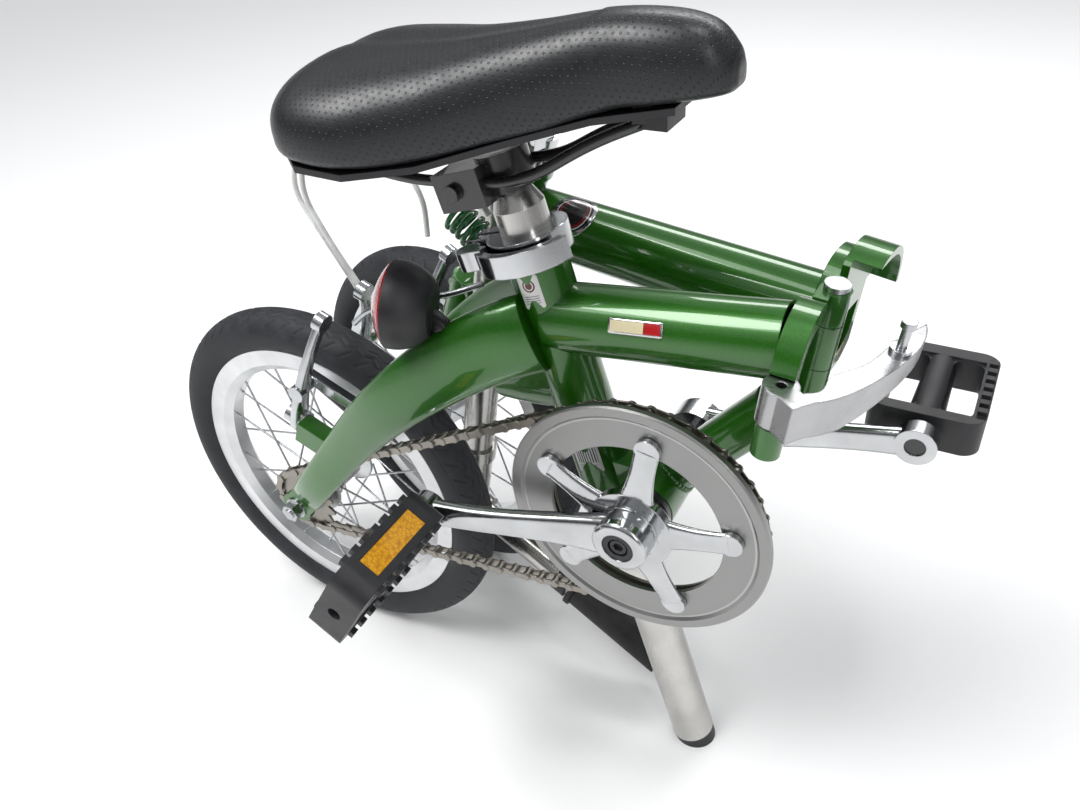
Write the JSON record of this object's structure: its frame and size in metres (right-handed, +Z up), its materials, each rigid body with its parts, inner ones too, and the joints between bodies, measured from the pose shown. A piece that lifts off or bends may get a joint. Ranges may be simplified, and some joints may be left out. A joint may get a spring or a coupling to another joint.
{
  "type": "folding bicycle",
  "caption": "Small-wheeled folding bicycle stored folded: hinged frame, folding handlepost, telescoping seat post, rim brakes and chain drive.",
  "frame": {"origin": "middle of the flat sole under the seat post, on the floor", "axes": "+X towards where the bicycle rides, +Y to the rider's left, +Z up"},
  "size_m": [0.6774, 0.368, 0.582],
  "materials": {
    "frame_green": "deep pearl green paint under gloss lacquer",
    "steel": "bright zinc-plated steel",
    "polished_alloy": "polished cast aluminium",
    "satin_alloy": "satin turned aluminium",
    "brushed_alloy": "brushed aluminium",
    "rim_alloy": "satin anodised aluminium",
    "brake_silver": "tumbled silver aluminium",
    "black_plastic": "moulded black nylon, fine texture",
    "black_steel": "black painted steel, semi-gloss",
    "saddle_vinyl": "perforated black vinyl, semi-gloss",
    "tyre": "charcoal rubber with a cut tread",
    "chain_steel": "oiled dark steel",
    "amber_reflector": "prismatic amber reflector",
    "grip_rubber": "soft black rubber",
    "white_cable": "white plastic cable housing",
    "lock_green": "translucent green plastic sleeve",
    "red_lens": "ribbed red lens"
  },
  "bodies": {
    "rear_frame": {"seat_tube": "frame_green", "rear_main_tube": "frame_green", "rear_brace_tube": "frame_green", "rear_hinge_plate": "frame_green", "hinge_pin": "steel", "rear_stays": "frame_green", "seat_collar": "polished_alloy", "seat_collar_bolt": "steel", "rear_axle": "steel", "chain": "chain_steel", "bottom_bracket_cups": "black_steel", "tail_lamp": "black_plastic", "tail_lamp_lens": "red_lens", "rear_brake_noodle": "steel", "rear_brake_cable": "white_cable", "cable_lock_coil": "lock_green"},
    "seat": {"seatpost": "satin_alloy", "seatpost_foot": "black_plastic", "saddle_rails": "black_steel", "saddle_clamp": "black_steel", "saddle_cover": "saddle_vinyl", "saddle_base": "black_plastic"},
    "collar_lever": {"seat_collar_lever": "polished_alloy"},
    "rear_wheel": {"rear_tyre": "tyre", "rear_rim": "rim_alloy", "rear_spokes": "steel", "rear_hub": "rim_alloy"},
    "sprocket": {"rear_sprocket": "chain_steel"},
    "crankset": {"chainring": "chain_steel", "chainguard": "satin_alloy", "crank_right": "polished_alloy", "crank_left": "polished_alloy", "bottom_bracket_axle": "steel", "crank_bolts": "black_plastic", "pedal_axles": "black_steel"},
    "right_pedal": {"pedal_right": "black_plastic", "pedal_reflectors_right": "amber_reflector"},
    "left_pedal": {"pedal_left": "black_plastic", "pedal_reflectors_left": "amber_reflector"},
    "hinge_clamp": {"hinge_lever": "brushed_alloy", "hinge_latch_pin": "steel"},
    "rear_brake_right": {"rear_brake_arm_right": "brake_silver"},
    "rear_brake_left": {"rear_brake_arm_left": "brake_silver"},
    "front_half": {"front_frame": "frame_green"},
    "fork": {"fork": "frame_green", "front_axle": "steel", "handlepost_base": "polished_alloy", "front_brake_cable": "white_cable"},
    "front_wheel": {"front_tyre": "tyre", "front_rim": "rim_alloy", "front_spokes": "steel", "front_hub": "rim_alloy"},
    "front_brake_right": {"front_brake_arm_right": "brake_silver"},
    "front_brake_left": {"front_brake_arm_left": "brake_silver"},
    "handlepost": {"handlepost": "satin_alloy", "handlebar": "satin_alloy", "grips": "grip_rubber", "brake_lever_mounts": "black_plastic"},
    "left_brake_lever": {"brake_lever_left": "brake_silver"},
    "right_brake_lever": {"brake_lever_right": "brake_silver"}
  },
  "joints": [
    {"name": "seatpost_height", "type": "slide", "parent": "rear_frame", "child": "seat", "axis": [-0.2756, 0, 0.9613], "range_m": [0, 0.26]},
    {"name": "collar_lever_open", "type": "hinge", "parent": "rear_frame", "child": "collar_lever", "pos_m": [-0.16005, -0.019, 0.43089], "axis": [-0.2756, 0, 0.9613], "range_deg": [-95, 0]},
    {"name": "rear_wheel_spin", "type": "hinge", "parent": "rear_frame", "child": "rear_wheel", "pos_m": [-0.35535, 0, 0.168], "axis": [0, 1, 0], "continuous": true},
    {"name": "crank_spin", "type": "hinge", "parent": "rear_frame", "child": "crankset", "pos_m": [-0.034, 0, 0.2752], "axis": [0, 1, 0], "range_deg": [-15, 115]},
    {"name": "sprocket_spin", "type": "hinge", "parent": "rear_frame", "child": "sprocket", "pos_m": [-0.35535, 0, 0.168], "axis": [0, 1, 0], "range_deg": [-45, 345]},
    {"name": "right_pedal_spin", "type": "hinge", "parent": "crankset", "child": "right_pedal", "pos_m": [-0.18413, -0.084, 0.25142], "axis": [0, 1, 0], "continuous": true},
    {"name": "left_pedal_spin", "type": "hinge", "parent": "crankset", "child": "left_pedal", "pos_m": [0.11613, 0.084, 0.29898], "axis": [0, 1, 0], "continuous": true},
    {"name": "frame_fold", "type": "hinge", "parent": "rear_frame", "child": "front_half", "pos_m": [0.054, 0.04, 0.395], "axis": [0.1045, 0, 0.9945], "range_deg": [-172.3, 0]},
    {"name": "hinge_clamp_swing", "type": "hinge", "parent": "rear_frame", "child": "hinge_clamp", "pos_m": [0.04417, -0.035, 0.35883], "axis": [0.1045, 0, 0.9945], "range_deg": [-120, 0]},
    {"name": "steering", "type": "hinge", "parent": "front_half", "child": "fork", "pos_m": [-0.21083, 0.11603, 0.39872], "axis": [0.3721, -0.0369, 0.9274], "range_deg": [-10, 3]},
    {"name": "front_wheel_spin", "type": "hinge", "parent": "fork", "child": "front_wheel", "pos_m": [-0.31186, 0.12691, 0.16798], "axis": [-0.197, -0.9796, 0.04], "continuous": true},
    {"name": "handlepost_fold", "type": "hinge", "parent": "fork", "child": "handlepost", "pos_m": [-0.18331, 0.09431, 0.47739], "axis": [-0.94, 0.2003, 0.2762], "range_deg": [0, 77.5]},
    {"name": "rear_brake_right_close", "type": "hinge", "parent": "rear_frame", "child": "rear_brake_right", "pos_m": [-0.32866, -0.0385, 0.26076], "axis": [0.9272, 0, -0.3746], "range_deg": [-2.5, 0]},
    {"name": "rear_brake_left_close", "type": "hinge", "parent": "rear_frame", "child": "rear_brake_left", "pos_m": [-0.32866, 0.0385, 0.26076], "axis": [0.9272, 0, -0.3746], "range_deg": [0, 2.5]},
    {"name": "front_brake_right_close", "type": "hinge", "parent": "fork", "child": "front_brake_right", "pos_m": [-0.28306, 0.16424, 0.26142], "axis": [-0.907, 0.1976, 0.3718], "range_deg": [-2.5, 0]},
    {"name": "front_brake_left_close", "type": "hinge", "parent": "fork", "child": "front_brake_left", "pos_m": [-0.29823, 0.08882, 0.2645], "axis": [-0.907, 0.1976, 0.3718], "range_deg": [0, 2.5]},
    {"name": "left_lever_squeeze", "type": "hinge", "parent": "handlepost", "child": "left_brake_lever", "pos_m": [-0.36469, 0.08956, 0.19232], "axis": [-0.1464, -0.9883, 0.043], "range_deg": [0, 16], "stiffness_Nm_per_rad": 0.6},
    {"name": "right_lever_squeeze", "type": "hinge", "parent": "handlepost", "child": "right_brake_lever", "pos_m": [-0.12119, 0.04941, 0.09856], "axis": [0.1464, 0.9883, -0.043], "range_deg": [0, 16], "stiffness_Nm_per_rad": 0.6}
  ],
  "couplings": [
    {"joint": "sprocket_spin", "follows": "crank_spin", "ratio": 3},
    {"joint": "hinge_clamp_swing", "follows": "frame_fold", "ratio": 0.69636},
    {"joint": "handlepost_fold", "follows": "frame_fold", "ratio": -0.4497},
    {"joint": "rear_brake_right_close", "follows": "left_lever_squeeze", "ratio": -0.15563},
    {"joint": "rear_brake_left_close", "follows": "left_lever_squeeze", "ratio": 0.15563},
    {"joint": "front_brake_right_close", "follows": "right_lever_squeeze", "ratio": -0.15563},
    {"joint": "front_brake_left_close", "follows": "right_lever_squeeze", "ratio": 0.15563}
  ]
}
